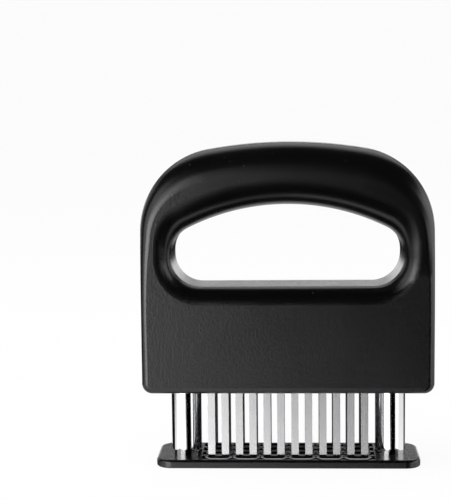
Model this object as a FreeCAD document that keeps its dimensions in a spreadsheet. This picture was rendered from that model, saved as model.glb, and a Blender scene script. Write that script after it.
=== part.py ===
import FreeCAD, Part
import math
import os
import Sketcher

# Blade meat tenderizer: a hollow D-shaped grip in two moulded halves holds rows of twin-bladed knives in a
# block. A slotted guard plate hangs below on two tubular posts, which slide up into the grip against springs.
#
# Frame: X to the right along the grip, Y from the front face to the rear face, Z up. The origin is the middle
# of the guard plate's underside. Lengths are millimetres.

doc = FreeCAD.newDocument("blade_meat_tenderizer")
sheet = doc.addObject("Spreadsheet::Sheet", "sizes")

DRIVING_SIZES = (
    # guard plate, set in from the grip's ends and faces
    ("plate_end_inset", 5.25),
    ("plate_face_inset", 1.0),
    ("plate_thickness", 3.5),
    ("plate_corner_radius", 6.5),
    ("plate_edge_round", 1.1),
    ("plate_foot_round", 0.7),
    ("slot_end_room", 0.4),
    ("slot_point", 1.55),
    ("slot_width", 4.4),
    ("slot_lead_in", 0.4),
    ("post_socket_depth", 1.0),
    # twin-bladed knives, in rows along the plate
    ("least_knife_pitch", 11.0),
    ("row_count", 4.0),
    ("row_pitch", 7.2),
    ("blade_width", 3.0),
    ("blade_thickness", 0.6),
    ("blade_pitch", 5.7),
    ("blade_edge_length", 3.6),
    ("tip_height", 1.2),
    ("fork_depth", 2.0),
    ("knife_root_round", 1.2),
    ("knife_cover", 2.0),
    ("pin_diameter", 3.0),
    ("pin_height", 10.0),
    # posts and their springs
    ("stroke", 25.0),
    ("closing_gap", 3.0),
    ("post_inset", 17.25),
    ("post_diameter", 12.7),
    ("post_wall", 1.0),
    ("collar_overhang", 1.25),
    ("collar_thickness", 1.2),
    ("plug_length", 6.0),
    ("spring_diameter", 9.4),
    ("spring_wire", 1.0),
    ("spring_turns", 11.0),
    ("spring_pilot_length", 4.0),
    ("seat_flange_thickness", 1.5),
    ("seat_flange_diameter", 14.0),
    ("bushing_length", 9.5),
    ("bushing_wall", 1.2),
    ("bushing_flange_overhang", 0.7),
    ("bushing_flange_thickness", 1.2),
    # countersunk screws that hold the posts to the plate
    ("post_screw_diameter", 4.0),
    ("post_screw_length", 7.5),
    ("post_screw_head_diameter", 7.6),
    # knife block, set in from the grip's ends and faces
    ("block_end_inset", 4.6),
    ("block_face_inset", 3.9),
    ("block_height", 16.0),
    ("block_lug_height", 9.5),
    ("block_neck_inset", 1.6),
    ("block_end_wall", 1.2),
    ("block_core_gap", 0.14),
    ("block_corner_radius", 3.0),
    # grip
    ("grip_length", 120.5),
    ("grip_depth", 34.0),
    ("grip_height", 103.2),
    ("crown_radius", 190.0),
    ("shoulder_radius", 32.8),
    ("foot_radius", 4.2),
    ("cavity_foot_radius", 2.0),
    ("foot_round", 2.6),
    ("side_round", 4.9),
    ("crown_round", 12.5),
    ("grip_wall", 2.6),
    # opening for the fingers, and the arms beside it
    ("arm_width", 12.55),
    ("opening_height", 33.8),
    ("opening_floor_height", 43.95),
    ("opening_crown_radius", 92.0),
    ("opening_shoulder_radius", 12.0),
    ("opening_foot_radius", 12.0),
    ("least_opening_side", 0.3),
    ("opening_round", 7.0),
    ("opening_crown_round", 11.0),
    # inside of the grip
    ("channel_wall", 1.8),
    ("channel_play", 0.4),
    ("rib_thickness", 1.8),
    ("block_rib_spacing", 22.0),
    ("crown_rib_spacing", 20.0),
    # screws that join the two halves
    ("lower_screw_spacing", 22.0),
    ("lower_screw_height", 27.0),
    ("upper_screw_inset", 17.75),
    ("upper_screw_drop", 22.5),
    ("shell_screw_diameter", 2.6),
    ("shell_screw_length", 20.0),
    ("shell_screw_head_diameter", 5.4),
    ("shell_screw_head_height", 2.0),
    ("screw_recess_depth", 6.0),
    ("screw_boss_wall", 1.7),
    ("screw_cross_width", 0.9),
    ("screw_cross_length", 3.2),
    ("screw_cross_depth", 1.2),
    # clearances
    ("running_clearance", 0.06),
    ("fit_clearance", 0.02),
    ("seat_clearance", 0.1),
    ("knife_clearance", 0.05),
    ("loose_clearance", 0.3),
    ("cut_overrun", 1.0),
)

for row, (alias, length) in enumerate(DRIVING_SIZES, start=1):
    sheet.set(f"A{row}", alias)
    sheet.set(f"B{row}", str(length))
    sheet.setAlias(f"B{row}", alias)
doc.recompute()


class Size:
    """A length that knows both its number and the spreadsheet formula that gives it."""

    def __init__(self, number, formula):
        self.number = number
        self.formula = formula

    @staticmethod
    def of(value):
        return value if isinstance(value, Size) else Size(float(value), repr(float(value)))

    def joined(self, other, sign, number):
        return Size(number, f"({self.formula} {sign} {Size.of(other).formula})")

    def __add__(self, other):
        return self.joined(other, "+", self.number + Size.of(other).number)

    def __sub__(self, other):
        return self.joined(other, "-", self.number - Size.of(other).number)

    def __mul__(self, other):
        return self.joined(other, "*", self.number * Size.of(other).number)

    def __truediv__(self, other):
        return self.joined(other, "/", self.number / Size.of(other).number)

    def __neg__(self):
        return Size(-self.number, f"(-1 * {self.formula})")

    def at_most(self, other):
        other = Size.of(other)
        return Size(min(self.number, other.number), f"min({self.formula}; {other.formula})")

    def root(self):
        return Size(math.sqrt(self.number), f"sqrt({self.formula})")

    def whole(self):
        return Size(math.floor(self.number), f"floor({self.formula})")


def size(alias):
    return Size(float(sheet.get(alias)), f"sizes.{alias}")


def bind(thing, prop, length):
    """Sets a property to a size and ties it to the size's formula."""
    thing.setExpression(prop, Size.of(length).formula)


# ---------------------------------------------------------------- levels and places shared by several pieces

ZERO = Size(0.0, "0")
plate_top = size("plate_thickness")
underside = plate_top + size("stroke") + size("closing_gap")
floor_level = underside + size("opening_floor_height")
post_place = size("grip_length") / 2 - size("post_inset")
post_radius = size("post_diameter") / 2
bore_radius = post_radius - size("post_wall")
post_foot = plate_top - size("post_socket_depth")
bushing_top = underside + size("bushing_length") + size("bushing_flange_thickness")
collar_bottom = bushing_top + size("seat_clearance")
post_top = collar_bottom + size("collar_thickness")
channel_ceiling = floor_level - size("grip_wall")
seat_bottom = channel_ceiling - size("seat_flange_thickness")
plug_top = post_foot + size("plug_length")
block_top = underside + size("block_height")
pin_level = underside + size("pin_height")
pin_radius = size("pin_diameter") / 2
knife_width = size("blade_pitch") + size("blade_width")
channel_radius = post_radius + size("collar_overhang") + size("channel_play")
pilot_radius = size("spring_diameter") / 2 - size("spring_wire") - size("loose_clearance")
half_depth = size("grip_depth") / 2
plate_length = size("grip_length") - size("plate_end_inset") * 2
plate_width = size("grip_depth") - size("plate_face_inset") * 2
block_length = size("grip_length") - size("block_end_inset") * 2
block_width = size("grip_depth") - size("block_face_inset") * 2
bushing_radius = post_radius + size("running_clearance") + size("bushing_wall")

# The rows fill the room between the two bushings, with as many knives as the least pitch allows.
core_half = post_place - bushing_radius - size("bushing_flange_overhang") - size("block_core_gap")
knife_room = (core_half - size("block_end_wall")) * 2 - knife_width
knives_per_row = (knife_room / size("least_knife_pitch")).whole() + 1
knife_pitch = knife_room / (knives_per_row - 1)
first_knife = -(knife_room / 2)
first_row = -(size("row_pitch") * (size("row_count") - 1) / 2)


# ---------------------------------------------------------------- small helpers for bodies and sketches

def new_body(label):
    body = doc.addObject("PartDesign::Body", label)
    body.Label = label
    return body


def place(thing, x=ZERO, y=ZERO, z=ZERO):
    for axis, offset in zip("xyz", (x, y, z)):
        bind(thing, f"Placement.Base.{axis}", offset)


def sketch_on(body, name, plane):
    """A sketch on one of the body's own origin planes, such as XZ_Plane."""
    sketch = body.newObject("Sketcher::SketchObject", name)
    support = next(item for item in body.Origin.OriginFeatures if item.Role == plane)
    sketch.AttachmentSupport = (support, [""])
    sketch.MapMode = "FlatFace"
    return sketch


def pin_point(sketch, geometry, point, across, up):
    """Holds one point of a sketch at two sizes from the sketch's origin."""
    for kind, axis, length in (("DistanceX", -2, Size.of(across)), ("DistanceY", -1, Size.of(up))):
        if abs(length.number) < 1e-9:
            sketch.addConstraint(Sketcher.Constraint("PointOnObject", geometry, point, axis))
        else:
            rule = sketch.addConstraint(Sketcher.Constraint(kind, -1, 1, geometry, point, length.number))
            bind(sketch, f"Constraints[{rule}]", length)


def polygon(sketch, corners):
    """A closed outline of straight lines through corners, each a pair of sizes."""
    points = [FreeCAD.Vector(Size.of(a).number, Size.of(b).number, 0) for a, b in corners]
    lines = [sketch.addGeometry(Part.LineSegment(points[i], points[(i + 1) % len(points)]), False)
             for i in range(len(points))]
    for i, line in enumerate(lines):
        sketch.addConstraint(Sketcher.Constraint("Coincident", line, 2, lines[(i + 1) % len(lines)], 1))
        pin_point(sketch, line, 1, *corners[i])
    return lines


def rectangle(sketch, across, up):
    """A rectangle centred on the sketch's origin."""
    half, high = across / 2, up / 2
    return polygon(sketch, ((-half, -high), (half, -high), (half, high), (-half, high)))


def circle(sketch, across, up, radius):
    across, up, radius = Size.of(across), Size.of(up), Size.of(radius)
    centre = FreeCAD.Vector(across.number, up.number, 0)
    ring = sketch.addGeometry(Part.Circle(centre, FreeCAD.Vector(0, 0, 1), radius.number), False)
    pin_point(sketch, ring, 3, across, up)
    rule = sketch.addConstraint(Sketcher.Constraint("Radius", ring, radius.number))
    bind(sketch, f"Constraints[{rule}]", radius)
    return ring


def pad(body, sketch, length, name, reverse=False, middle=False):
    feature = body.newObject("PartDesign::Pad", name)
    feature.Profile = sketch
    feature.Reversed = reverse
    feature.SideType = "Symmetric" if middle else "One side"
    bind(feature, "Length", length)
    return feature


def pocket(body, sketch, name, length=None, reverse=False, middle=False):
    """A cut to a length, or right through where no length is given."""
    feature = body.newObject("PartDesign::Pocket", name)
    feature.Profile = sketch
    feature.Reversed = reverse
    feature.SideType = "Symmetric" if middle else "One side"
    if length is None:
        feature.Type = "ThroughAll"
    else:
        bind(feature, "Length", length)
    return feature


def turned(body, corners, name):
    """A body of revolution about its own Z axis, from corners given as (radius, height)."""
    sketch = sketch_on(body, f"{name}_profile", "XZ_Plane")
    polygon(sketch, corners)
    feature = body.newObject("PartDesign::Revolution", name)
    feature.Profile = sketch
    feature.ReferenceAxis = (sketch, ["V_Axis"])
    feature.Angle = 360.0
    return feature


def repeated(body, cuts, outline, name):
    """Repeats cuts made at the first knife of the first row for every knife of every row."""
    doc.recompute()
    repeats = []
    for direction, axis, length, count in (("along_row", "H_Axis", knife_room, knives_per_row),
                                           ("across_rows", "V_Axis", first_row * -2, size("row_count"))):
        pattern = body.newObject("PartDesign::LinearPattern", f"{name}_{direction}")
        pattern.Direction = (outline, [axis])
        bind(pattern, "Length", length)
        bind(pattern, "Occurrences", count)
        repeats.append(pattern)
    grid = body.newObject("PartDesign::MultiTransform", name)
    grid.Originals = cuts
    grid.Transformations = repeats
    body.Tip = grid


def treat_edges(body, kind, amount, name, wanted):
    """A Fillet or Chamfer on those edges of the body's tip that pass a test."""
    doc.recompute()
    tip = body.Tip
    chosen = [f"Edge{i}" for i, edge in enumerate(tip.Shape.Edges, start=1) if wanted(edge)]
    if not chosen:
        raise RuntimeError(f"{body.Label}: no edge to shape for {name}")
    feature = body.newObject(f"PartDesign::{kind}", name)
    feature.Base = (tip, chosen)
    bind(feature, "Radius" if kind == "Fillet" else "Size", amount)
    return feature


def near(a, b):
    return abs(a - b) < 1e-5


def upright(edge):
    return edge.Curve.TypeId == "Part::GeomLine" and near(abs(edge.tangentAt(edge.FirstParameter).z), 1.0)


def at_level(edge, level):
    return near(edge.BoundBox.ZMin, level) and near(edge.BoundBox.ZMax, level)


SIDES = (("left", -1.0), ("right", 1.0))


# ---------------------------------------------------------------- guard plate

def make_guard_plate():
    """A rounded plate with a six-sided slot below each knife and a socket for each post.

    A small chamfer leads the blades into each slot from above.
    """
    body = new_body("guard_plate")
    plan = sketch_on(body, "plate_plan", "XY_Plane")
    rectangle(plan, plate_length, plate_width)
    pad(body, plan, plate_top, "plate")
    treat_edges(body, "Fillet", size("plate_corner_radius"), "plate_corners", upright)
    treat_edges(body, "Fillet", size("plate_edge_round"), "plate_top_edge",
                lambda edge: at_level(edge, plate_top.number))
    treat_edges(body, "Fillet", size("plate_foot_round"), "plate_foot_edge",
                lambda edge: at_level(edge, 0.0))

    point = knife_width / 2 + size("slot_end_room")
    flat = point - size("slot_point")
    side = size("slot_width") / 2
    outline = sketch_on(body, "slot_outline", "XY_Plane")
    polygon(outline, ((first_knife - point, first_row), (first_knife - flat, first_row - side),
                      (first_knife + flat, first_row - side), (first_knife + point, first_row),
                      (first_knife + flat, first_row + side), (first_knife - flat, first_row + side)))
    repeated(body, [pocket(body, outline, "slot", reverse=True)], outline, "slots")
    treat_edges(body, "Chamfer", size("slot_lead_in"), "slot_lead_ins",
                lambda edge: at_level(edge, plate_top.number) and abs(edge.CenterOfMass.x) < post_place.number)

    sockets = sketch_on(body, "post_sockets_outline", "XY_Plane")
    holes = sketch_on(body, "screw_holes_outline", "XY_Plane")
    sockets.AttachmentOffset = FreeCAD.Placement(FreeCAD.Vector(0, 0, plate_top.number), FreeCAD.Rotation())
    bind(sockets, "AttachmentOffset.Base.z", plate_top)
    hole_radius = size("post_screw_diameter") / 2 + size("seat_clearance")
    for _, sign in SIDES:
        circle(sockets, post_place * sign, 0, post_radius + size("seat_clearance"))
        circle(holes, post_place * sign, 0, hole_radius)
    pocket(body, sockets, "post_sockets", size("post_socket_depth"))
    pocket(body, holes, "screw_holes", reverse=True)
    sink = size("post_screw_head_diameter") / 2 - size("post_screw_diameter") / 2
    treat_edges(body, "Chamfer", sink, "screw_sinks",
                lambda edge: at_level(edge, 0.0) and edge.Curve.TypeId == "Part::GeomCircle"
                and near(edge.Curve.Radius, hole_radius.number))
    return body


# ---------------------------------------------------------------- posts, plugs, bushings, seats and springs

def make_post(side, sign):
    """A polished tube whose upper end is flared outwards, so that it can't drop out of its bushing."""
    body = new_body(f"post_{side}")
    collar = post_radius + size("collar_overhang")
    turned(body, ((bore_radius, post_foot), (post_radius, post_foot), (post_radius, collar_bottom),
                  (collar, collar_bottom), (collar, post_top), (bore_radius, post_top)), "tube")
    place(body, x=post_place * sign)
    return body


def make_post_plug(side, sign):
    """A plug in the post's lower end: the spring stands on it, and the plate's screw goes into it."""
    body = new_body(f"post_plug_{side}")
    outside = bore_radius - size("fit_clearance")
    thread = size("post_screw_diameter") / 2 + size("fit_clearance")
    screw_end = size("post_screw_length") + size("loose_clearance")
    pilot_top = plug_top + size("spring_pilot_length")
    turned(body, ((thread, post_foot), (outside, post_foot), (outside, plug_top), (pilot_radius, plug_top),
                  (pilot_radius, pilot_top), (ZERO, pilot_top), (ZERO, screw_end), (thread, screw_end)), "plug")
    place(body, x=post_place * sign)
    return body


def make_bushing(side, sign):
    """A flanged guide bushing, which the post runs in."""
    body = new_body(f"guide_bushing_{side}")
    inside = post_radius + size("running_clearance")
    flange = bushing_radius + size("bushing_flange_overhang")
    flange_bottom = underside + size("bushing_length")
    turned(body, ((inside, underside), (bushing_radius, underside), (bushing_radius, flange_bottom),
                  (flange, flange_bottom), (flange, bushing_top), (inside, bushing_top)), "bushing")
    place(body, x=post_place * sign)
    return body


def make_spring_seat(side, sign):
    """A stepped disc at the channel's ceiling that keeps the spring's upper end central."""
    body = new_body(f"spring_seat_{side}")
    flange = size("seat_flange_diameter") / 2
    pilot_end = seat_bottom - size("spring_pilot_length")
    turned(body, ((ZERO, pilot_end), (pilot_radius, pilot_end), (pilot_radius, seat_bottom),
                  (flange, seat_bottom), (flange, channel_ceiling), (ZERO, channel_ceiling)), "seat")
    place(body, x=post_place * sign)
    return body


def make_spring(side, sign):
    """A round-wire compression spring inside the post, from the plug's shoulder to the spring seat."""
    body = new_body(f"spring_{side}")
    wire_radius = size("spring_wire") / 2
    coil_radius = size("spring_diameter") / 2 - wire_radius
    first = plug_top + wire_radius
    section = sketch_on(body, "wire_section", "XZ_Plane")
    circle(section, coil_radius, first, wire_radius)
    coil = body.newObject("PartDesign::AdditiveHelix", "coil")
    coil.Profile = section
    coil.ReferenceAxis = (section, ["V_Axis"])
    coil.Mode = "height-turns-growth"
    bind(coil, "Height", seat_bottom - plug_top - size("spring_wire"))
    bind(coil, "Turns", size("spring_turns"))
    place(body, x=post_place * sign)
    return body


def make_post_screw(side, sign):
    """A countersunk screw with a slotted head, up through the plate into the post's plug."""
    body = new_body(f"post_screw_{side}")
    shank = size("post_screw_diameter") / 2
    head = size("post_screw_head_diameter") / 2
    turned(body, ((ZERO, ZERO), (head, ZERO), (shank, head - shank), (shank, size("post_screw_length")),
                  (ZERO, size("post_screw_length"))), "screw")
    drive = sketch_on(body, "drive_outline", "XY_Plane")
    rectangle(drive, size("post_screw_diameter"), size("screw_cross_width"))
    pocket(body, drive, "drive", size("screw_cross_width"), reverse=True)
    place(body, x=post_place * sign)
    return body


# ---------------------------------------------------------------- knives, pins and their block

def knife_places():
    """Row number, knife number and the two sizes that place each knife."""
    for row in range(int(size("row_count").number)):
        for knife in range(int(knives_per_row.number)):
            yield row + 1, knife + 1, first_knife + knife_pitch * knife, first_row + size("row_pitch") * row


def make_knife(row, knife, x, y):
    """A flat steel fork: two blades with chisel-ground ends, joined by a root with a pin hole."""
    body = new_body(f"knife_{row}_{knife}")
    outer = knife_width / 2
    inner = outer - size("blade_width")
    crotch = underside + size("fork_depth")
    top = block_top - size("knife_cover")
    plan = sketch_on(body, "fork_outline", "XZ_Plane")
    polygon(plan, ((-outer, size("tip_height")), (-inner, size("tip_height")), (-inner, crotch),
                   (inner, crotch), (inner, size("tip_height")), (outer, size("tip_height")),
                   (outer, top), (-outer, top)))
    circle(plan, 0, pin_level, pin_radius + size("fit_clearance"))
    pad(body, plan, size("blade_thickness"), "fork", middle=True)
    treat_edges(body, "Fillet", size("knife_root_round"), "root_corners",
                lambda edge: near(edge.BoundBox.ZMin, top.number) and near(edge.BoundBox.ZMax, top.number)
                and edge.Length < size("blade_thickness").number * 1.01)
    back = size("blade_thickness") / 2
    grind = sketch_on(body, "grind_outline", "YZ_Plane")
    polygon(grind, ((-back, size("tip_height")), (back, size("tip_height")),
                    (-back, size("tip_height") + size("blade_edge_length"))))
    pocket(body, grind, "chisel_edge", knife_width * 2, middle=True)
    place(body, x=x, y=y)
    return body


def make_retaining_pin(knife, x):
    """A pin across the block, through the roots of one knife in every row."""
    body = new_body(f"retaining_pin_{knife}")
    end = sketch_on(body, "pin_section", "XZ_Plane")
    circle(end, 0, pin_level, pin_radius)
    pad(body, end, block_width, "pin", middle=True)
    place(body, x=x)
    return body


def make_knife_block():
    """The moulding that holds the knives, with a lug at each end for a bushing."""
    body = new_body("knife_block")
    neck_length = block_length - size("block_neck_inset") * 2
    neck_width = block_width - size("block_neck_inset") * 2
    shell_top = underside + size("grip_wall")

    neck = sketch_on(body, "neck_plan", "XY_Plane")
    rectangle(neck, neck_length, neck_width)
    bind(neck, "AttachmentOffset.Base.z", underside)
    pad(body, neck, size("block_lug_height"), "neck")

    flange = sketch_on(body, "flange_plan", "XY_Plane")
    rectangle(flange, block_length, block_width)
    bind(flange, "AttachmentOffset.Base.z", shell_top)
    pad(body, flange, size("block_lug_height") - size("grip_wall"), "flange")
    treat_edges(body, "Fillet", size("block_corner_radius"), "block_corners", upright)

    core = sketch_on(body, "core_plan", "XY_Plane")
    rectangle(core, core_half * 2, block_width)
    bind(core, "AttachmentOffset.Base.z", underside + size("block_lug_height"))
    pad(body, core, size("block_height") - size("block_lug_height"), "core")

    bores = sketch_on(body, "bushing_bores_outline", "XY_Plane")
    for _, sign in SIDES:
        circle(bores, post_place * sign, 0, bushing_radius + size("fit_clearance"))
    pocket(body, bores, "bushing_bores", reverse=True)

    half_length = knife_width / 2 + size("knife_clearance")
    half_width = size("blade_thickness") / 2 + size("knife_clearance")
    slit = sketch_on(body, "knife_slit_outline", "XY_Plane")
    polygon(slit, ((first_knife - half_length, first_row - half_width),
                   (first_knife + half_length, first_row - half_width),
                   (first_knife + half_length, first_row + half_width),
                   (first_knife - half_length, first_row + half_width)))
    repeated(body, [pocket(body, slit, "knife_slit", reverse=True)], slit, "knife_slits")

    cross = sketch_on(body, "pin_bores_outline", "XZ_Plane")
    for knife in range(int(knives_per_row.number)):
        circle(cross, first_knife + knife_pitch * knife, pin_level, pin_radius + size("fit_clearance"))
    pocket(body, cross, "pin_bores", block_width * 2, middle=True)
    return body


# ---------------------------------------------------------------- grip

def dome(sketch, half_width, bottom, top, crown, shoulder, foot):
    """A flat-bottomed dome: two upright sides, a wide crown arc, and tangent shoulder and foot arcs."""
    hw, lo, hi = half_width.number, bottom.number, top.number
    rc, rs, rf = crown.number, shoulder.number, foot.number
    crown_z = hi - rc
    shoulder_x = hw - rs
    shoulder_z = crown_z + math.sqrt((rc - rs) ** 2 - shoulder_x ** 2)
    lean = math.atan2(shoulder_z - crown_z, shoulder_x)
    up = FreeCAD.Vector(0, 0, 1)

    def arc(x, z, radius, start, end):
        ring = Part.Circle(FreeCAD.Vector(x, z, 0), up, radius)
        return sketch.addGeometry(Part.ArcOfCircle(ring, start, end), False)

    def line(x0, z0, x1, z1):
        ends = FreeCAD.Vector(x0, z0, 0), FreeCAD.Vector(x1, z1, 0)
        return sketch.addGeometry(Part.LineSegment(*ends), False)

    quarter = math.pi / 2
    base = line(-hw + rf, lo, hw - rf, lo)
    foot_right = arc(hw - rf, lo + rf, rf, -quarter, 0)
    side_right = line(hw, lo + rf, hw, shoulder_z)
    shoulder_right = arc(shoulder_x, shoulder_z, rs, 0, lean)
    crown_arc = arc(0, crown_z, rc, lean, math.pi - lean)
    shoulder_left = arc(-shoulder_x, shoulder_z, rs, math.pi - lean, math.pi)
    side_left = line(-hw, shoulder_z, -hw, lo + rf)
    foot_left = arc(-hw + rf, lo + rf, rf, math.pi, math.pi + quarter)
    chain = [base, foot_right, side_right, shoulder_right, crown_arc, shoulder_left, side_left, foot_left]
    for here, after in zip(chain, chain[1:] + chain[:1]):
        sketch.addConstraint(Sketcher.Constraint("Tangent", here, 2, after, 1))
    sketch.addConstraint(Sketcher.Constraint("Horizontal", base))
    sketch.addConstraint(Sketcher.Constraint("Vertical", side_right))
    sketch.addConstraint(Sketcher.Constraint("Vertical", side_left))
    for curve, radius in ((crown_arc, crown), (shoulder_right, shoulder), (shoulder_left, shoulder),
                          (foot_right, foot), (foot_left, foot)):
        rule = sketch.addConstraint(Sketcher.Constraint("Radius", curve, radius.number))
        bind(sketch, f"Constraints[{rule}]", radius)
    sketch.addConstraint(Sketcher.Constraint("PointOnObject", crown_arc, 3, -2))
    for kind, curve, point, length in (("DistanceY", crown_arc, 3, top - crown),
                                       ("DistanceY", base, 1, bottom),
                                       ("DistanceX", side_right, 1, half_width),
                                       ("DistanceX", side_left, 1, -half_width)):
        rule = sketch.addConstraint(Sketcher.Constraint(kind, -1, 1, curve, point, length.number))
        bind(sketch, f"Constraints[{rule}]", length)


# Shares that keep a roundover's growth along its edge gentle, and both roundovers of a wall inside it.
LEAST_SIDE_OF_CROWN = 0.26
LEAST_FOOT_OF_SIDE = 0.5
MOST_SIDE_OF_ARM = 0.395
MOST_OPENING_OF_ARM = 0.58
MOST_CROWN_OF_WEB = 0.5
MOST_OPENING_OF_WEB = 0.44
MOST_GROWTH_ON_SHOULDER = 0.258
MOST_GROWTH_IN_OPENING = 0.34


def make_form(name, inset, foot_radius):
    """The D-shaped grip as one solid, with every wall set in by inset.

    Its roundover is small at the foot, grows up the sides and is widest over the crown, which the palm
    presses on. The roundover of the finger opening is widest at its top too, so that the crown is a full round.
    """
    body = new_body(name)
    half_width = size("grip_length") / 2 - inset
    bottom = underside + inset
    top = underside + size("grip_height") - inset
    depth = size("grip_depth") - inset * 2
    outline = sketch_on(body, f"{name}_outline", "XZ_Plane")
    dome(outline, half_width, bottom, top, size("crown_radius") - inset, size("shoulder_radius") - inset,
         foot_radius)
    pad(body, outline, depth, f"{name}_block", middle=True)

    opening_half = size("grip_length") / 2 - size("arm_width") + inset
    opening_bottom = floor_level - inset
    opening_top = floor_level + size("opening_height") + inset
    crown = size("opening_crown_radius") + inset
    shoulder = size("opening_shoulder_radius") + inset
    reach, drop = crown - shoulder, opening_half - shoulder
    rise = (reach * reach - drop * drop).root()
    crown_end = (opening_top - crown + rise * crown / reach).number
    upright_room = opening_top - opening_bottom - crown + rise
    opening_foot = (size("opening_foot_radius") + inset).at_most(upright_room - size("least_opening_side"))
    opening = sketch_on(body, f"{name}_opening", "XZ_Plane")
    dome(opening, opening_half, opening_bottom, opening_top, crown, shoulder, opening_foot)
    pocket(body, opening, f"{name}_finger_cut", size("grip_depth") * 2, middle=True)
    doc.recompute()

    arm = (half_width - opening_half).number
    web = (top - opening_top).number
    crown_round = min(size("crown_round").number - inset.number, web * MOST_CROWN_OF_WEB)
    side_round = min(max(size("side_round").number - inset.number, crown_round * LEAST_SIDE_OF_CROWN),
                     arm * MOST_SIDE_OF_ARM)
    foot_round = max(size("foot_round").number - inset.number, side_round * LEAST_FOOT_OF_SIDE)
    growth = (size("shoulder_radius") - inset).number * MOST_GROWTH_ON_SHOULDER
    crown_round = min(crown_round, side_round + growth)
    opening_round = min(size("opening_round").number - inset.number, arm * MOST_OPENING_OF_ARM)
    opening_crown_round = min(size("opening_crown_round").number - inset.number, web * MOST_OPENING_OF_WEB,
                              opening_round + shoulder.number * MOST_GROWTH_IN_OPENING)
    shoulder_start = side_end_level(body.Shape, half_width.number)

    def round_at(point):
        """The outer roundover's radius where an edge ends."""
        if point.z <= bottom.number + foot_radius.number + 1e-4:
            return foot_round
        if point.z <= shoulder_start + 1e-4:
            return side_round
        return crown_round

    def opening_round_at(point):
        """The opening roundover's radius where an edge ends."""
        return opening_crown_round if point.z > crown_end - 1e-4 else opening_round

    def on_opening(point):
        return (abs(point.x) < opening_half.number + 1e-4
                and opening_bottom.number - 1e-4 < point.z < opening_top.number + 1e-4)

    # The first edge of a chain sets the direction in which its radii are read, so the arcs, which all turn the
    # same way, come before the straight edges.
    rounded = []
    edges = list(enumerate(body.Shape.Edges, start=1))
    for number, edge in sorted(edges, key=lambda item: item[1].Curve.TypeId == "Part::GeomLine"):
        if not near(edge.BoundBox.YMin, edge.BoundBox.YMax):
            continue
        first, last = edge.FirstParameter, edge.LastParameter
        rule = opening_round_at if on_opening(edge.valueAt((first + last) / 2)) else round_at
        rounded.append((number, rule(edge.valueAt(first)), rule(edge.valueAt(last))))
    roundover = doc.addObject("Part::Fillet", f"{name}_rounded")
    roundover.Base = body
    roundover.Edges = rounded
    return roundover


def side_end_level(shape, half_width):
    """Where the upright side ends and the shoulder begins."""
    return max(edge.BoundBox.ZMax for edge in shape.Edges
               if upright(edge) and near(abs(edge.BoundBox.XMin), half_width))


def box(name, low, high):
    """A Part::Box between two corners, each three sizes."""
    block = doc.addObject("Part::Box", name)
    for prop, start, end in zip(("Length", "Width", "Height"), low, high):
        bind(block, prop, end - start)
    place(block, *low)
    return block


def cylinder(name, radius, length, x=ZERO, y=ZERO, z=ZERO, along_y=False):
    """A Part::Cylinder up from a point, or along +Y from it."""
    rod = doc.addObject("Part::Cylinder", name)
    if along_y:
        rod.Placement = FreeCAD.Placement(FreeCAD.Vector(), FreeCAD.Rotation(FreeCAD.Vector(1, 0, 0), -90))
    bind(rod, "Radius", radius)
    bind(rod, "Height", length)
    place(rod, x, y, z)
    return rod


def fused(name, shapes):
    whole = doc.addObject("Part::MultiFuse", name)
    whole.Shapes = shapes
    return whole


def common(name, base, tool):
    overlap = doc.addObject("Part::Common", name)
    overlap.Base = base
    overlap.Tool = tool
    return overlap


def cut(name, base, tool):
    rest = doc.addObject("Part::Cut", name)
    rest.Base = base
    rest.Tool = tool
    return rest


def screw_places():
    """The four screws that join the halves, as names and places on the split plane."""
    upper_x = size("grip_length") / 2 - size("upper_screw_inset")
    upper_z = underside + size("grip_height") - size("upper_screw_drop")
    for side, sign in SIDES:
        yield (f"lower_{side}", size("lower_screw_spacing") / 2 * sign, underside + size("lower_screw_height"))
        yield (f"upper_{side}", upper_x * sign, upper_z)


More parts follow.
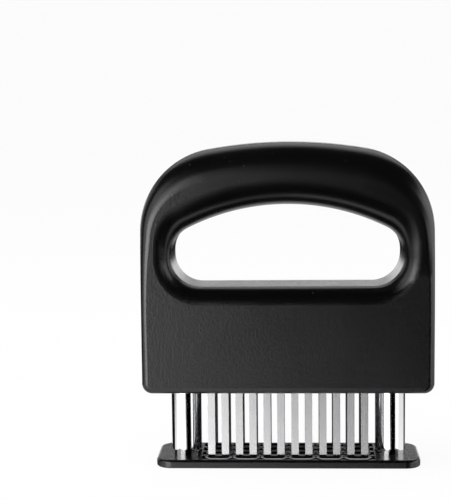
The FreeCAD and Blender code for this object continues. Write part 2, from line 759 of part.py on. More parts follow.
def make_shells():
    """The grip's two halves: thin walls, post channels, ribs over the block and screw bosses."""
    form = make_form("grip_form", ZERO, size("foot_radius"))
    cavity = make_form("grip_cavity", size("grip_wall"), size("cavity_foot_radius"))

    inner = half_depth - size("grip_wall")
    rib_base = block_top + size("seat_clearance")
    crown_base = floor_level + size("opening_height")
    crown_top = underside + size("grip_height")
    half_rib = size("rib_thickness") / 2
    overrun = size("cut_overrun")
    recess_floor = half_depth - size("screw_recess_depth")
    boss_radius = size("shell_screw_head_diameter") / 2 + size("loose_clearance") + size("screw_boss_wall")

    inside = []
    for side, sign in SIDES:
        inside.append(cylinder(f"channel_{side}", channel_radius + size("channel_wall"),
                               channel_ceiling - rib_base + size("opening_foot_radius"),
                               x=post_place * sign, z=rib_base))
    for number, place_x, low, high in (
            (1, -(size("block_rib_spacing")), rib_base, channel_ceiling + overrun),
            (2, ZERO, rib_base, channel_ceiling + overrun),
            (3, size("block_rib_spacing"), rib_base, channel_ceiling + overrun),
            (4, -(size("crown_rib_spacing")), crown_base, crown_top),
            (5, ZERO, crown_base, crown_top),
            (6, size("crown_rib_spacing"), crown_base, crown_top)):
        inside.append(box(f"rib_{number}", (place_x - half_rib, -inner, low), (place_x + half_rib, inner, high)))
    for name, x, z in screw_places():
        inside.append(cylinder(f"boss_{name}", boss_radius, size("grip_depth"), x=x, y=-half_depth, z=z,
                               along_y=True))
    fittings = common("fittings", fused("raw_fittings", inside), cavity)
    moulding = fused("moulding", [cut("hollow_grip", form, cavity), fittings])

    cuts = []
    neck_x = block_length / 2 - size("block_neck_inset") + size("seat_clearance")
    neck_y = block_width / 2 - size("block_neck_inset") + size("seat_clearance")
    cuts.append(box("neck_window", (-neck_x, -neck_y, underside - overrun),
                    (neck_x, neck_y, underside + size("grip_wall") + overrun)))
    for side, sign in SIDES:
        cuts.append(cylinder(f"channel_bore_{side}", channel_radius, channel_ceiling - rib_base + overrun,
                             x=post_place * sign, z=rib_base - overrun))
    for name, x, z in screw_places():
        cuts.append(cylinder(f"recess_{name}", size("shell_screw_head_diameter") / 2 + size("loose_clearance"),
                             size("grip_depth"), x=x, y=recess_floor, z=z, along_y=True))
        cuts.append(cylinder(f"screw_hole_{name}", size("shell_screw_diameter") / 2 + size("fit_clearance"),
                             size("shell_screw_length") + size("loose_clearance"), x=x,
                             y=recess_floor - size("shell_screw_length") - size("loose_clearance"), z=z,
                             along_y=True))
    finished = cut("finished_grip", moulding, fused("grip_cuts", cuts))

    halves = []
    reach = size("grip_length")
    for label, low_y, high_y in (("front_shell", -half_depth, ZERO), ("rear_shell", ZERO, half_depth)):
        side_box = box(f"{label}_half", (-reach, low_y, ZERO), (reach, high_y, crown_top + overrun))
        half = common(label, finished, side_box)
        half.Label = label
        halves.append(half)
    return halves


def make_shell_screw(name, x, z):
    """A pan-head screw with a cross recess, in from the rear half into the front half's boss."""
    body = new_body(f"shell_screw_{name}")
    seat = half_depth - size("screw_recess_depth")
    shank = size("shell_screw_diameter") / 2
    head = size("shell_screw_head_diameter") / 2
    turned(body, ((ZERO, -size("shell_screw_length")), (shank, -size("shell_screw_length")), (shank, ZERO),
                  (head, ZERO), (head, size("shell_screw_head_height")),
                  (ZERO, size("shell_screw_head_height"))), "screw")
    drive = sketch_on(body, "drive_outline", "XY_Plane")
    bind(drive, "AttachmentOffset.Base.z", size("shell_screw_head_height"))
    arm = size("screw_cross_length") / 2
    half = size("screw_cross_width") / 2
    polygon(drive, ((-arm, -half), (-half, -half), (-half, -arm), (half, -arm), (half, -half), (arm, -half),
                    (arm, half), (half, half), (half, arm), (-half, arm), (-half, half), (-arm, half)))
    pocket(body, drive, "drive", size("screw_cross_depth"))
    body.Placement = FreeCAD.Placement(FreeCAD.Vector(), FreeCAD.Rotation(FreeCAD.Vector(1, 0, 0), -90))
    place(body, x, seat, z)
    return body


def group(label, members):
    """Identical fasteners as one node of separate solids."""
    bundle = doc.addObject("Part::Compound", label)
    bundle.Label = label
    bundle.Links = members
    return bundle


# ---------------------------------------------------------------- the whole assembly

subparts = make_shells()
subparts.append(make_knife_block())
for row, knife, x, y in knife_places():
    subparts.append(make_knife(row, knife, x, y))
for row, knife, x, y in knife_places():
    if row == 1:
        subparts.append(make_retaining_pin(knife, x))
for side, sign in SIDES:
    subparts.append(make_bushing(side, sign))
    subparts.append(make_spring_seat(side, sign))
    subparts.append(make_spring(side, sign))
    subparts.append(make_post(side, sign))
    subparts.append(make_post_plug(side, sign))
subparts.append(make_guard_plate())
subparts.append(group("shell_screws", [make_shell_screw(*spot) for spot in screw_places()]))
subparts.append(group("post_screws", [make_post_screw(*spot) for spot in SIDES]))
doc.recompute()

for thing in doc.Objects:
    if "Invalid" in thing.State or "Error" in thing.State:
        raise RuntimeError(f"{thing.Label} failed: {thing.State}")
for piece in subparts:
    if piece.Shape.isNull() or not piece.Shape.isValid() or not piece.Shape.Solids:
        raise RuntimeError(f"{piece.Label} has no valid solid")

os.makedirs("parts", exist_ok=True)
for piece in subparts:
    piece.Shape.exportStep(f"parts/{piece.Label}.step")
    print(f"{piece.Label}: {len(piece.Shape.Solids)} solid(s), {piece.Shape.Volume:.1f} mm3")
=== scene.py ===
# %% [markdown]
# # A blade meat tenderizer
#
# The tool is pressed straight down on meat. A hollow black grip holds four rows of twin-bladed steel knives,
# and a slotted guard plate rides below them on two polished tubes. When the grip is pressed, the plate slides
# up and the blades come through its slots. This lesson dresses the finished CAD model: it gives every piece the
# finish of the real one, makes the pieces that CAD only roughs out, and sets up a small studio around them.

import math

import bpy
import numpy as np
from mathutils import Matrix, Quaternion, Vector


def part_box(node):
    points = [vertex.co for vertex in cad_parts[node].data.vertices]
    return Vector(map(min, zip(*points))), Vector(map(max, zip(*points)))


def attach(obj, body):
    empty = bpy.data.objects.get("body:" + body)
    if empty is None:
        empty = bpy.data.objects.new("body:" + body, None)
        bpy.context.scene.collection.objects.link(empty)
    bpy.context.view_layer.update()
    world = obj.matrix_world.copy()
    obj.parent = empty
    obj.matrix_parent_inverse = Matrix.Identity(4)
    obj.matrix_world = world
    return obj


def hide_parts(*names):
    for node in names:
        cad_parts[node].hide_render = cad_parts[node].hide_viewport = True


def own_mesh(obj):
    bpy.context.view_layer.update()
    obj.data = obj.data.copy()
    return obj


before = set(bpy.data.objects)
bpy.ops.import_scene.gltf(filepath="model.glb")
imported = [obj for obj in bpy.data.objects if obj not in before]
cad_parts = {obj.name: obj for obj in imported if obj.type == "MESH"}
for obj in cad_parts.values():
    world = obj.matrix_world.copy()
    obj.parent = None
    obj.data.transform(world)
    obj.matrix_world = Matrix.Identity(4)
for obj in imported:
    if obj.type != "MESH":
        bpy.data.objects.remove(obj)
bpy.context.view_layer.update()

# %% [markdown]
# ## The camera
#
# A long lens at about 600 mm keeps the sides of a small tool nearly parallel. The camera stands a little above
# the tool and looks down at it, which shows the floor of the finger opening and the top of the guard plate. It
# is turned past the tool, which leaves room on the left. The sensor's 36 mm lie along the picture's long,
# upright side.

# %% Camera
CAMERA_PLACE = (0.0040, -0.6002, 0.1551)
SENSOR_MM = 36.0
LENS_MM = 103.8
FURTHEST_SEEN = 50.0
# The three turns of the camera, in radians.
TURN_LEFT = 0.0496
LOOK_DOWN = 0.1086
ROLL = -0.0105

camera_data = bpy.data.cameras.new("camera")
camera_data.sensor_width = SENSOR_MM
camera_data.lens = LENS_MM
camera_data.clip_end = FURTHEST_SEEN
camera = bpy.data.objects.new("camera", camera_data)
bpy.context.scene.collection.objects.link(camera)
bpy.context.scene.camera = camera
camera.location = CAMERA_PLACE
camera.rotation_mode = "QUATERNION"
camera.rotation_quaternion = (Quaternion((0, 0, 1), TURN_LEFT)
                              @ Quaternion((1, 0, 0), math.pi / 2 - LOOK_DOWN)
                              @ Quaternion((0, 0, 1), ROLL))
bpy.context.scene.view_settings.view_transform = "Standard"
print("camera lens in mm:", camera_data.lens)

# %% [markdown]
# ## Shader maths
#
# A procedural material is arithmetic on coordinates. Wiring that by hand takes one node for each plus or minus.
# The small class below wraps one socket, and Python's own operators then add the Math nodes, so that a formula
# reads as a formula. Every other node comes from one method, which takes the node's settings and its inputs.

# %% Shader maths
class Flow:
    """One socket of a node tree. Operators between flows and numbers add Math nodes to the tree."""

    def __init__(self, tree, socket=None):
        self.tree = tree
        self.socket = socket

    def node(self, kind, settings=None, inputs=None, output=0):
        """Adds a node with its settings first, then its inputs, and returns one of its outputs."""
        made = self.tree.nodes.new(kind)
        for name, value in (settings or {}).items():
            setattr(made, name, value)
        for name, value in (inputs or {}).items():
            if isinstance(value, Flow):
                self.tree.links.new(value.socket, made.inputs[name])
            else:
                made.inputs[name].default_value = value
        return Flow(self.tree, made.outputs[output] if made.outputs else None)

    def maths(self, operation, *values):
        return self.node("ShaderNodeMath", {"operation": operation}, dict(enumerate(values)))

    def __add__(self, other):
        return self.maths("ADD", self, other)

    def __sub__(self, other):
        return self.maths("SUBTRACT", self, other)

    def __rsub__(self, other):
        return self.maths("SUBTRACT", other, self)

    def __mul__(self, other):
        return self.maths("MULTIPLY", self, other)

    __radd__ = __add__
    __rmul__ = __mul__

    def __abs__(self):
        return self.maths("ABSOLUTE", self)

    def axes(self, letters):
        """The coordinates of this vector that the letters name."""
        return [self.node("ShaderNodeSeparateXYZ", None, {0: self}, letter) for letter in letters]

    def smooth(self, low, high):
        """0 up to low, 1 from high on, and a smooth step between them."""
        settings = {"interpolation_type": "SMOOTHSTEP"}
        return self.node("ShaderNodeMapRange", settings, {0: self, 1: low, 2: high, 3: 0.0, 4: 1.0})

    def above(self, edge, softness):
        """0 below the edge and 1 above it, with a smooth step of this half width between them."""
        return self.smooth(edge - softness, edge + softness)

    def blend(self, first, second):
        """A colour between first and second, with this flow as the share of the second."""
        return self.node("ShaderNodeMix", {"data_type": "RGBA"}, {0: self, 6: first, 7: second}, 2)


def emptied(owner):
    """Clears the nodes of a new material or world and returns the flow that its own nodes hang on."""
    owner.use_nodes = True
    owner.node_tree.nodes.clear()
    return Flow(owner.node_tree)


print("operators:", "+ - * abs", "and the helpers node, axes, smooth, above and blend")

# %% [markdown]
# ## The floor
#
# The tool stands on a plain white sweep: a floor that bends up into a wall, so that no line shows behind the
# tool. The sweep is a grid of points. Its finish is almost all its own plain white where the camera looks at
# it, with a little white paper below, which keeps the tool's soft shadow. Reflections look past the sweep at
# the world, which is painted further down.

# %% Floor
SWEEP_FRONT = -3.0
SWEEP_LENGTH = 8.0
SWEEP_WIDTH = 12.0
BEND_START = 2.5
BEND_RADIUS = 1.0


def sweep_points(across, along):
    """A flat floor, then a quarter circle that turns it upright, then a wall.

    across and along run from 0 to 1. Along the sweep the distance s starts at the front edge. Up to the bend, y
    is s and z is 0. In the bend, with the turn t = (s - start) / radius, y is start + radius sin t and z is
    radius (1 - cos t). Past the quarter circle only z grows.
    """
    s = SWEEP_FRONT + along * SWEEP_LENGTH
    turn = np.clip((s - BEND_START) / BEND_RADIUS, 0.0, math.pi / 2)
    upright = np.clip(s - BEND_START - BEND_RADIUS * math.pi / 2, 0.0, None)
    y = np.minimum(s, BEND_START) + BEND_RADIUS * np.sin(turn)
    z = BEND_RADIUS * (1 - np.cos(turn)) + upright
    return np.stack([(across - 0.5) * SWEEP_WIDTH, y, z], axis=-1)


def mesh_object(name, points, faces):
    """An object at the origin, from points [..., xyz] and the point numbers of each face."""
    mesh = bpy.data.meshes.new(name)
    mesh.from_pydata(points.reshape(-1, 3), [], faces)
    mesh.update()
    piece = bpy.data.objects.new(name, mesh)
    bpy.context.scene.collection.objects.link(piece)
    return piece


def grid_mesh(name, points, tube=False):
    """A smooth mesh from a grid of points [rows, columns, xyz]: each cell of the grid is one four-sided face.

    In a tube the last column joins the first, and one flat face closes each of the two ends.
    """
    rows, columns = points.shape[:2]
    index = np.arange(rows * columns).reshape(rows, columns)
    ring = np.concatenate([index, index[:, :1]], axis=1) if tube else index
    quads = np.stack([ring[:-1, :-1], ring[:-1, 1:], ring[1:, 1:], ring[1:, :-1]], axis=-1)
    faces = quads.reshape(-1, 4).tolist()
    ends = [index[0, ::-1].tolist(), index[-1].tolist()] if tube else []
    piece = mesh_object(name, points, faces + ends)
    piece.data.polygons.foreach_set("use_smooth", np.arange(len(faces) + len(ends)) < len(faces))
    piece.data.update()
    return piece


across, along = np.meshgrid(np.linspace(0, 1, 13), np.linspace(0, 1, 161))
floor = grid_mesh("floor", sweep_points(across, along))
floor.visible_glossy = False
print("floor faces:", len(floor.data.polygons))

# %% Floor finish
WHITE = (1.0, 1.0, 1.0, 1.0)
PAPER_WHITE = (0.82, 0.82, 0.82, 1.0)
PLAIN_SHARE = 0.93

floor_paint = bpy.data.materials.new("white_sweep")
ground = emptied(floor_paint)
shown = ground.node("ShaderNodeLightPath", output="Is Camera Ray")
paper = ground.node("ShaderNodeBsdfDiffuse", None, {"Color": PAPER_WHITE})
plain = ground.node("ShaderNodeEmission", None, {"Color": WHITE, "Strength": 1.0})
sweep_look = ground.node("ShaderNodeMixShader", None, {0: shown * PLAIN_SHARE, 1: paper, 2: plain})
ground.node("ShaderNodeOutputMaterial", None, {"Surface": sweep_look})
floor.data.materials.append(floor_paint)
print("floor finish:", floor_paint.name)

# %% [markdown]
# ## What the polished and glossy surfaces reflect
#
# Black plastic and polished steel show hardly any colour of their own, so their look is what they reflect. The
# world is therefore painted like the inside of a studio, by direction: an azimuth, which is 0 towards the
# camera and grows to the right, and a height above the horizon, both in degrees. A large soft box stands in
# front on the left, brightest near the horizon. Weaker ones stand at the sides, and a white wall behind has a
# dark gap at the height that the top of the guard plate mirrors. The white table fills the lowest part. It is
# brightest straight ahead, where the flat knives mirror it, and a dark gap beside that, on the right, draws the
# dark bands on the tubes. What lies level and straight ahead is dark, which keeps black plastic black. Only
# reflections see all this. Matt surfaces are lit by an even white room, and the camera sees plain white.

# %% World
PANELS = [
    # azimuth from and to, height from and to, brightness, half width of the soft edges
    (-46, -13, -30, 28, 2.4, 4),
    (-46, -13, -13, 9, 4.2, 3),
    (-80, -46, -12, 40, 1.4, 4),
    (38, 62, -12, 6, 2.1, 3),
    (62, 118, -10, 30, 1.9, 4),
    (-190, -140, -4, 10, 1.6, 2),
    (140, 190, -4, 10, 1.6, 2),
    (-190, -140, 24, 60, 1.0, 3),
    (140, 190, 24, 60, 1.0, 3),
    (-140, -108, -4, 30, 0.6, 2),
    (118, 140, -4, 30, 0.6, 2),
    (-13, 2, -95, -14.5, 1.75, 2),
    (-13, -5, -14, -5, 1.3, 3),
    (-46, -13, -95, -30, 1.0, 3),
    (-102, -46, -95, -12, 1.1, 3),
    (38, 122, -95, -12, 1.0, 2),
    (-190, -155, -95, -12, 0.9, 2),
    (155, 190, -95, -12, 0.9, 2),
    (-155, -102, -95, -17, 0.9, 3),
    (122, 155, -95, -17, 0.9, 3),
]
EVEN_ROOM = 0.70

world = bpy.data.worlds.new("studio")
bpy.context.scene.world = world
world.cycles.sampling_method = "NONE"
room = emptied(world)
direction = room.node("ShaderNodeTexCoord", output="Generated")
x, y, z = direction.axes("XYZ")
azimuth = room.maths("ARCTAN2", x, y * -1.0) * math.degrees(1)
height = room.maths("ARCSINE", z) * math.degrees(1)


def panel(left, right, low, high, brightness, softness):
    """Brightness inside the four bounds, with soft edges: the product of four smooth steps."""
    inside = azimuth.above(left, softness) * (1.0 - azimuth.above(right, softness))
    return inside * height.above(low, softness) * (1.0 - height.above(high, softness)) * brightness


reflected = sum((panel(*bounds) for bounds in PANELS[1:]), panel(*PANELS[0]))
in_camera, in_gloss = [room.node("ShaderNodeLightPath", output=f"Is {ray} Ray") for ray in ("Camera", "Glossy")]
strength = in_camera + (1.0 - in_camera) * (EVEN_ROOM + in_gloss * (reflected - EVEN_ROOM))
backdrop = room.node("ShaderNodeBackground", None, {"Color": WHITE, "Strength": strength})
room.node("ShaderNodeOutputWorld", None, {"Surface": backdrop})
print("world:", world.name, "with", len(PANELS), "panels")

# %% [markdown]
# ## Lamp and card
#
# One soft box hangs overhead. It lights what is matt and lays a soft shadow on the floor. Reflections don't see
# it, because the painted studio already holds what they should show. A black card lies flat in front of the
# grip, at the height of the finger opening's floor. Only reflections see it: it keeps the bright table out of
# the crown's underside.

# %% Lamp
LAMP_PLACE = (-0.25, -0.15, 1.1)
LAMP_AIM = (0.0, 0.0, 0.07)
LAMP_SIZE = (0.9, 0.6)
LAMP_WATTS = 8.0

lamp = bpy.data.lights.new("top_box", "AREA")
lamp.shape = "RECTANGLE"
lamp.size, lamp.size_y = LAMP_SIZE
lamp.energy = LAMP_WATTS
top_box = bpy.data.objects.new("top_box", lamp)
bpy.context.scene.collection.objects.link(top_box)
top_box.location = LAMP_PLACE
top_box.rotation_mode = "QUATERNION"
top_box.rotation_quaternion = (Vector(LAMP_PLACE) - Vector(LAMP_AIM)).to_track_quat("Z", "Y")
top_box.visible_glossy = False
print("lamp:", top_box.name)

# %% Card
CARD_CORNER = np.array([-0.045, -0.250, 0.079])
CARD_LENGTH = 0.245
CARD_DEPTH = 0.225

card_paint = bpy.data.materials.new("black_card")
unlit = emptied(card_paint)
black = unlit.node("ShaderNodeEmission", None, {"Color": WHITE, "Strength": 0.0})
unlit.node("ShaderNodeOutputMaterial", None, {"Surface": black})

u, v = np.meshgrid(np.linspace(0, 1, 3), np.linspace(0, 1, 3))
card = grid_mesh("flat_card", CARD_CORNER + np.stack([u * CARD_LENGTH, v * CARD_DEPTH, 0 * u], axis=-1))
card.data.materials.append(card_paint)
card.visible_camera = False
card.visible_diffuse = False
card.visible_shadow = False
print("card:", card.name)

# %% [markdown]
# ## Moulded black plastic
#
# The grip, the knife block and the guard plate are moulded in black plastic with a fine pebbled grain. The
# grain is two sizes of noise in a Bump node, which leaves the outline alone. The plastic has a slightly uneven
# gloss and a few pale specks of dust, and the two halves of the grip meet in a hairline groove.

# %% Helpers for the finishes
def finish(name):
    """A new material, the flow that its nodes hang on, and the object's own coordinates."""
    material = bpy.data.materials.new(name)
    flow = emptied(material)
    return material, flow, flow.node("ShaderNodeTexCoord", output="Object")


def noise(flow, coordinates, scale, detail=2.0):
    """Smooth noise from 0 to 1; scale is in cells per metre."""
    inputs = {"Vector": coordinates, "Scale": scale, "Detail": detail}
    return flow.node("ShaderNodeTexNoise", None, inputs, "Fac")


def stretched(flow, coordinates, amounts):
    """Coordinates stretched by an amount along each axis, so that a noise on them turns into streaks."""
    return flow.node("ShaderNodeMapping", None, {"Vector": coordinates, "Scale": amounts})


def bump(flow, height, distance):
    """A normal tilted by a height from 0 to 1 that stands for distance metres."""
    return flow.node("ShaderNodeBump", None, {"Height": height, "Distance": distance, "Strength": 1.0})


def principled(flow, inputs):
    """The Principled shader: numbers and colours set its sockets, and flows are linked to them."""
    return flow.node("ShaderNodeBsdfPrincipled", None, inputs)


def show(flow, shader):
    """Ends the material with this shader."""
    flow.node("ShaderNodeOutputMaterial", None, {"Surface": shader})


print("helpers: finish, noise, stretched, bump, principled and show")

# %% Moulded black plastic
BLACK = (0.0022, 0.0022, 0.0024, 1.0)
DUST_GREY = (0.10, 0.10, 0.10, 1.0)
GRAIN_DEPTH = 0.00006
# The groove at the seam: the half widths of its bottom and its mouth, and its depth as a multiple of the grain.
SEAM_BOTTOM = 0.00005
SEAM_MOUTH = 0.00022
SEAM_DEPTH = 1.5


def plastic_shader(flow, here, seamed):
    """Glossy black with pebbled grain and dust; a seamed one has a groove on the middle plane."""
    grain = noise(flow, here, 1500.0, 1.0) * 0.65 + noise(flow, here, 4200.0, 1.0) * 0.35
    uneven = noise(flow, here, 45.0)
    dust = noise(flow, here, 900.0, 0.0).smooth(0.84, 0.90)
    if seamed:
        from_seam = abs(here.axes("Y")[0])
        grain = grain - (1.0 - from_seam.smooth(SEAM_BOTTOM, SEAM_MOUTH)) * SEAM_DEPTH
    return principled(flow, {
        "Base Color": (dust * 0.4).blend(BLACK, DUST_GREY),
        "Roughness": 0.20 + uneven * 0.08,
        "Normal": bump(flow, grain, GRAIN_DEPTH),
        "Specular IOR Level": 0.5,
    })


def black_plastic(name, seamed):
    material, flow, here = finish(name)
    show(flow, plastic_shader(flow, here, seamed))
    return material


moulded_grip = black_plastic("moulded_grip", True)
moulded_black = black_plastic("moulded_black", False)
print("plastic finishes:", moulded_grip.name, moulded_black.name)

# %% [markdown]
# ## The guard plate's finish
#
# On top of the guard plate each row of slots lies in a band of painted shade: dark, matt and without reflection.
# Only the ribs between the rows are glossy. A Mix Shader node blends the two finishes. Its factor is a mask:
# the distance to the nearest row's middle line, measured along y, limited to the top face and to the length of
# the rows.

# %% Guard plate finish
PLATE_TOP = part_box("guard_plate")[1].z
# The bands of painted shade: half their width, where they end along x, and how far below the top face the painted
# shade reaches.
SHADE_BAND_HALF = 0.0027
SHADE_BAND_END = 0.0362
SHADE_BAND_DEPTH = 0.00045
# The colours of the painted shade over the rows of slots.
SHADE_BLACK = (0.0015, 0.0015, 0.0016, 1.0)
SHADE_GREY = (0.0060, 0.0060, 0.0062, 1.0)


def middle_line(row):
    """The y of one row of knives. The rows lie in pairs at plus and minus the same y."""
    low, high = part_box(f"knife_{row}_1")
    return (low.y + high.y) / 2


ROW_LINES = [middle_line(row) for row in (3, 4)]


def slotted_plastic():
    material, flow, here = finish("moulded_guard")
    x, y, z = here.axes("XYZ")
    nearest = flow.maths("MINIMUM", *[abs(abs(y) - line) for line in ROW_LINES])
    shade_band = 1.0 - nearest.above(SHADE_BAND_HALF, 0.0001)
    shade_band = shade_band * (1.0 - abs(x).above(SHADE_BAND_END, 0.0003))
    shade_band = shade_band * z.above(PLATE_TOP - SHADE_BAND_DEPTH, 0.00015)
    shade_tone = noise(flow, here, 2500.0)
    # Painted shade: the rows of slots are painted dark and matt, without reflection, to stand in for the shade in
    # the slots.
    painted_shade_look = principled(flow, {
        "Base Color": shade_tone.blend(SHADE_BLACK, SHADE_GREY),
        "Roughness": 0.85,
        "Normal": bump(flow, shade_tone, 0.00004),
        "Specular IOR Level": 0.0,
    })
    glossy = plastic_shader(flow, here, False)
    show(flow, flow.node("ShaderNodeMixShader", None, {0: shade_band, 1: glossy, 2: painted_shade_look}))
    return material


moulded_guard = slotted_plastic()
print("guard finish:", moulded_guard.name, "rows at mm", [round(1000 * line, 2) for line in ROW_LINES])

# %% [markdown]
# ## Steel
#
# The knives are flat strip. The faces that look out of the front and rear rows are ground bright in fine
# upright lines. The faces between the rows are painted dark as painted shade, where the rows shade each other,
# and the bevels of the tips are painted dark as a painted reflection of the dark plate. A mask on the distance
# from the middle plane tells the faces apart, and a mask on the height finds the tips.
# The tubes are polished: they are smoother than the blades, with faint streaks along them and a few smudges.

# %% Blade steel
BEVEL_HEIGHT = 0.0036
OUTER_FACE = abs(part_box("knife_1_1")[0].y)
BEVEL_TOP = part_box("knife_1_1")[0].z + BEVEL_HEIGHT
# Painted shade: the dark colour of the faces between the rows and of the tip bevels.
PAINTED_SHADE_STEEL = (0.10, 0.10, 0.105, 1.0)
GROUND_DULL = (0.70, 0.70, 0.71, 1.0)
GROUND_BRIGHT = (0.82, 0.82, 0.83, 1.0)
GRINDING_LINE = (0.50, 0.50, 0.51, 1.0)


def ground_steel():
    material, flow, here = finish("ground_blade_steel")
    y, z = here.axes("YZ")
    lines = noise(flow, stretched(flow, here, (1.0, 1.0, 0.02)), 3500.0)
    patches = noise(flow, here, 120.0)
    # The mask picks the outer faces above the bevels; everywhere else the steel is painted dark as shade and dark
    # reflection.
    outer_unshaded = abs(y).smooth(OUTER_FACE - 0.00025, OUTER_FACE - 0.00015) * z.above(BEVEL_TOP, 0.0002)
    ground = patches.blend(GROUND_DULL, GROUND_BRIGHT)
    streaked = (lines.smooth(0.35, 0.65) * 0.15).blend(ground, GRINDING_LINE)
    show(flow, principled(flow, {
        "Base Color": outer_unshaded.blend(PAINTED_SHADE_STEEL, streaked),
        "Roughness": 0.20 + lines * 0.08,
        "Normal": bump(flow, lines, 0.000004),
        "Metallic": 1.0,
    }))
    return material


blade_steel = ground_steel()
print("blade finish:", blade_steel.name)

# %% Polished tube
def polished_steel():
    material, flow, here = finish("polished_tube_steel")
    lines = noise(flow, stretched(flow, here, (1.0, 1.0, 0.01)), 1800.0)
    smudge = noise(flow, here, 90.0).smooth(0.45, 0.75)
    show(flow, principled(flow, {
        "Base Color": lines.blend((0.84, 0.84, 0.85, 1.0), (0.90, 0.90, 0.91, 1.0)),
        "Roughness": 0.08 + smudge * 0.05 + lines * 0.03,
        "Normal": bump(flow, lines, 0.000001),
        "Metallic": 1.0,
    }))
    return material


polished_tube = polished_steel()
print("tube finish:", polished_tube.name)

# %% [markdown]
# ## The pieces inside
#
# Bushings, seats and plugs are turned from white acetal, which shows faint rings of the lathe. Screws are zinc
# plated and the wire of the springs is plain, darker steel: one function makes both from a base colour.

# %% White acetal
def acetal():
    material, flow, here = finish("white_acetal_plastic")
    turned = noise(flow, stretched(flow, here, (0.05, 0.05, 1.0)), 5000.0)
    cloud = noise(flow, here, 160.0)
    show(flow, principled(flow, {
        "Base Color": cloud.blend((0.72, 0.71, 0.68, 1.0), (0.82, 0.81, 0.79, 1.0)),
        "Roughness": 0.36 + cloud * 0.12,
        "Normal": bump(flow, turned, 0.00001),
    }))
    return material


white_acetal = acetal()
print("acetal finish:", white_acetal.name)

# %% Screw and wire steel
CLOUD_LIFT = 1.15


def small_part_steel(name, base, roughness):
    """Steel with a cloudy surface: the clouds are a little lighter and rougher than the base."""
    material, flow, here = finish(name)
    cloud = noise(flow, here, 700.0)
    pits = noise(flow, here, 6000.0)
    lifted = [share * CLOUD_LIFT for share in base]
    show(flow, principled(flow, {
        "Base Color": cloud.blend((*base, 1.0), (*lifted, 1.0)),
        "Roughness": roughness + cloud * 0.12,
        "Normal": bump(flow, pits, 0.000004),
        "Metallic": 1.0,
    }))
    return material


screw_steel = small_part_steel("screw_steel_zinc", (0.55, 0.56, 0.58), 0.24)
spring_steel = small_part_steel("spring_steel_wire", (0.40, 0.40, 0.41), 0.22)
print("wire and screw finishes:", spring_steel.name, screw_steel.name)

# %% [markdown]
# ## Springs
#
# The spring inside each tube is wound with a closed turn at both ends, so that it stands square on its plug.
# Its wire is swept along the path: the first and last turns climb by one wire thickness, the turns between
# share the rest of the height, and a smooth step joins the two pitches. The spring rides with the grip, with its
# upper end at its seat.

# %% Springs
WIRE_RADIUS = 0.0005
SPRING_TURNS = 13
RINGS_PER_TURN = 48
WIRE_SIDES = 16
# Counted in turns from either end, the coil is closed up to the first and fully open from the second.
CLOSED_UNTIL = 0.75
OPEN_FROM = 1.5


def smooth_step(value, low, high):
    """0 up to low and 1 from high on: with t the share of the way, 3 t^2 - 2 t^3."""
    t = np.clip((value - low) / (high - low), 0.0, 1.0)
    return t * t * (3 - 2 * t)


def spring(side):
    """The wire of one spring, in the room that the CAD spring takes.

    With turn number n, the path is (R cos 2 pi n, R sin 2 pi n, c(n)). Its climb c is the running sum of
    the pitch, which is one wire thickness on the end turns. A ring of the wire is the circle
    path + r (cos b * outwards + sin b * across), with across square to the path and to outwards.
    """
    low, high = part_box(f"spring_{side}")
    centre = (low + high) / 2
    coil_radius = (high.x - low.x) / 2 - WIRE_RADIUS
    climb_room = high.z - low.z - 2 * WIRE_RADIUS
    steps = SPRING_TURNS * RINGS_PER_TURN
    n = np.linspace(0, SPRING_TURNS, steps + 1)
    opened = smooth_step(n, CLOSED_UNTIL, OPEN_FROM) * smooth_step(SPRING_TURNS - n, CLOSED_UNTIL, OPEN_FROM)
    spare = climb_room - 2 * WIRE_RADIUS * SPRING_TURNS
    pitch = 2 * WIRE_RADIUS + opened * spare * steps / SPRING_TURNS / opened[1:].sum()
    climb = np.concatenate([[0.0], np.cumsum(pitch[1:])]) * SPRING_TURNS / steps
    angle = 2 * math.pi * n
    outwards = np.stack([np.cos(angle), np.sin(angle), 0 * angle], axis=-1)
    path = outwards * coil_radius + np.array([centre.x, centre.y, low.z + WIRE_RADIUS])
    path[:, 2] += climb
    along = np.gradient(path, axis=0)
    along /= np.linalg.norm(along, axis=1, keepdims=True)
    across = np.cross(along, outwards)
    b = np.linspace(0, 2 * math.pi, WIRE_SIDES, endpoint=False)[:, None]
    rings = path[:, None] + WIRE_RADIUS * (np.cos(b) * outwards[:, None] + np.sin(b) * across[:, None])
    piece = grid_mesh(f"wound_spring_{side}", rings, tube=True)
    piece.data.materials.append(spring_steel)
    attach(piece, "grip")
    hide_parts(f"spring_{side}")
    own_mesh(piece)
    return piece


springs = [spring(side) for side in ("left", "right")]
print("springs:", [(piece.name, len(piece.data.polygons)) for piece in springs])

# %% [markdown]
# ## Slot lips
#
# A fine raised lip runs round every slot of the guard plate. Its pale colour is a painted highlight, the glint
# along the lips' edges. All the lips are one mesh: a flattened ring profile is carried round each hexagon, and
# the corners are mitred by moving each side of the hexagon outwards by the same distance.

# %% Slot lips
ROWS = 4
KNIVES_IN_A_ROW = 6
# The slot: its room past each end of the knife, the length of its point, and half its width.
SLOT_ROOM = 0.0004
SLOT_POINT = 0.00155
SLOT_HALF = 0.0022
# The lip: its middle's distance from the slot's side, and half the width and the height of its profile.
LIP_OFFSET = 0.00058
LIP_HALF_WIDTH = 0.00016
LIP_HEIGHT = 0.00032
LIP_SIDES = 10


def painted_glint_edge():
    material, flow, here = finish("slot_edge_painted_glint")
    # Painted highlight: the pale grey stands in for the glint of light along the lips' edges.
    glint_tone = noise(flow, here, 700.0)
    show(flow, principled(flow, {
        "Base Color": glint_tone.blend((0.34, 0.34, 0.34, 1.0), (0.55, 0.55, 0.55, 1.0)),
        "Roughness": 0.30 + glint_tone * 0.15,
    }))
    return material


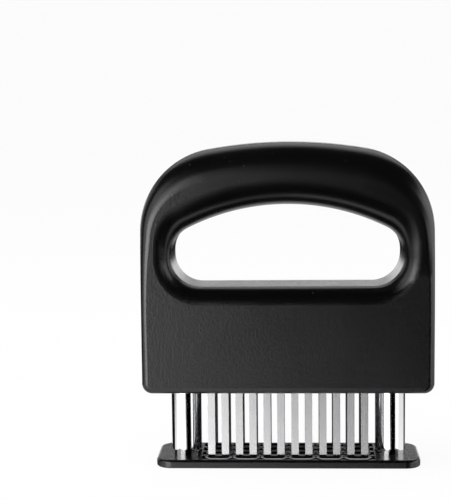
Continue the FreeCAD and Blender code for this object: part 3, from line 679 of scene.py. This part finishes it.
def slot_lips():
    """One closed ring for each slot.

    With p the slot's half length, f its half flat and w its half width, the side from (f, w) to (p, 0) has
    length L. Moved outwards by d, the corners are (p + d L / w, 0) and (f + d (L - (p - f)) / w, w + d). Round
    the ring, d is the offset plus half the width times cos a, and the height is the lip's height times sin a.
    """
    knives = [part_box(f"knife_{row + 1}_{place + 1}") for row in range(ROWS) for place in range(KNIVES_IN_A_ROW)]
    centre = np.array([((low.x + high.x) / 2, (low.y + high.y) / 2) for low, high in knives])
    first_low, first_high = knives[0]
    p = (first_high.x - first_low.x) / 2 + SLOT_ROOM
    f = p - SLOT_POINT
    side = math.hypot(SLOT_HALF, SLOT_POINT)
    a = np.linspace(0, 2 * math.pi, LIP_SIDES, endpoint=False)
    d = LIP_OFFSET + LIP_HALF_WIDTH * np.cos(a)
    point = p + d * side / SLOT_HALF
    flat = f + d * (side - SLOT_POINT) / SLOT_HALF
    wide = SLOT_HALF + d
    x = centre[:, 0, None, None] + np.stack([point, flat, -flat, -point, -flat, flat])
    y = centre[:, 1, None, None] + np.stack([0 * d, wide, wide, 0 * d, -wide, -wide])
    z = np.broadcast_to(PLATE_TOP + LIP_HEIGHT * np.sin(a), x.shape)
    rings = np.stack([x, y, z], axis=-1)
    index = np.arange(x.size).reshape(x.shape)
    ahead, up = np.roll(index, -1, axis=1), np.roll(index, -1, axis=2)
    quads = np.stack([index, ahead, np.roll(ahead, -1, axis=2), up], axis=-1)
    piece = mesh_object("slot_lips", rings, quads.reshape(-1, 4).tolist())
    piece.data.materials.append(painted_glint_edge())
    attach(piece, "guard")
    return piece


lips = slot_lips()
print("slot lips:", len(lips.data.polygons), "faces")

# %% [markdown]
# ## Finishes on the CAD pieces
#
# A CAD piece whose shape is right stays as it is and only gets its finish. The table names the pieces by how
# their names start, and the longest start that fits a name wins.

# %% Finishes on the CAD pieces
FINISHES = {
    "front_shell": moulded_grip,
    "rear_shell": moulded_grip,
    "knife_block": moulded_black,
    "guard_plate": moulded_guard,
    "knife_": blade_steel,
    "retaining_pin": blade_steel,
    "post_left": polished_tube,
    "post_right": polished_tube,
    "guide_bushing": white_acetal,
    "spring_seat": white_acetal,
    "post_plug": white_acetal,
    "spring_left": spring_steel,
    "spring_right": spring_steel,
    "shell_screws": screw_steel,
    "post_screws": screw_steel,
}
LONGEST_FIRST = sorted(FINISHES, key=len, reverse=True)
for name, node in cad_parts.items():
    start = next(start for start in LONGEST_FIRST if name.startswith(start))
    node.data.materials.clear()
    node.data.materials.append(FINISHES[start])
print("dressed CAD nodes:", len(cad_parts))
